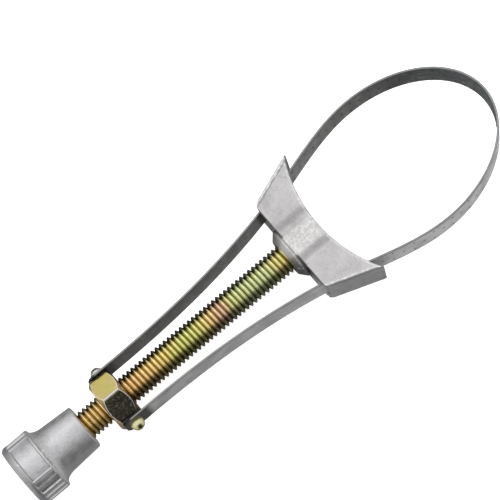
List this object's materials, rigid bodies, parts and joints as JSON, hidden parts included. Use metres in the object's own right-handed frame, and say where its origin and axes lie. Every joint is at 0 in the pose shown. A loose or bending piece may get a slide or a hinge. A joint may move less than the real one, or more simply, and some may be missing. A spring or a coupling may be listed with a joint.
{
  "type": "oil filter wrench",
  "caption": "Band-type oil filter wrench: a knob turns a long screw in a cast saddle, a travelling nut pulls a steel band loop tight round the filter.",
  "frame": {"origin": "centre of the knob's end face, on the screw's axis", "axes": "+X along the screw from the knob towards the band's loop, +Y to the band's left leg, +Z across the band's width"},
  "size_m": [0.2305, 0.0616, 0.027],
  "materials": {
    "cast_metal": "satin",
    "yellow_zinc": "polished",
    "bright_steel": "polished",
    "band_steel": "satin"
  },
  "bodies": {
    "saddle": {"saddle_casting": "cast_metal", "thrust_washer": "bright_steel"},
    "screw": {"screw": "yellow_zinc", "knob": "cast_metal", "retaining_washer": "bright_steel", "retaining_ring": "bright_steel"},
    "nut": {"hex_nut": "yellow_zinc", "rivet_left": "bright_steel", "rivet_right": "bright_steel", "band_end_left": "band_steel", "band_end_right": "band_steel", "band_tip": "band_steel"},
    "arm_left": {"band_arm_left": "band_steel"},
    "arm_right": {"band_arm_right": "band_steel"}
  },
  "joints": [
    {"name": "screw_turn", "type": "hinge", "parent": "saddle", "child": "screw", "pos_m": [0, 0, 0], "axis": [1, 0, 0], "range_deg": [-12600, 1710]},
    {"name": "nut_travel", "type": "slide", "parent": "saddle", "child": "nut", "axis": [1, 0, 0], "range_m": [-0.0096, 0.0701]},
    {"name": "arm_left_spread", "type": "slide", "parent": "nut", "child": "arm_left", "axis": [0, 1, 0], "range_m": [-0.0012, 0.0085]},
    {"name": "arm_right_spread", "type": "slide", "parent": "nut", "child": "arm_right", "axis": [0, -1, 0], "range_m": [-0.0012, 0.0085]}
  ],
  "couplings": [
    {"joint": "nut_travel", "follows": "screw_turn", "m_per_rad": -0.00031831},
    {"joint": "arm_left_spread", "follows": "screw_turn", "m_per_rad": -0.000038197},
    {"joint": "arm_right_spread", "follows": "screw_turn", "m_per_rad": -0.000038197}
  ]
}
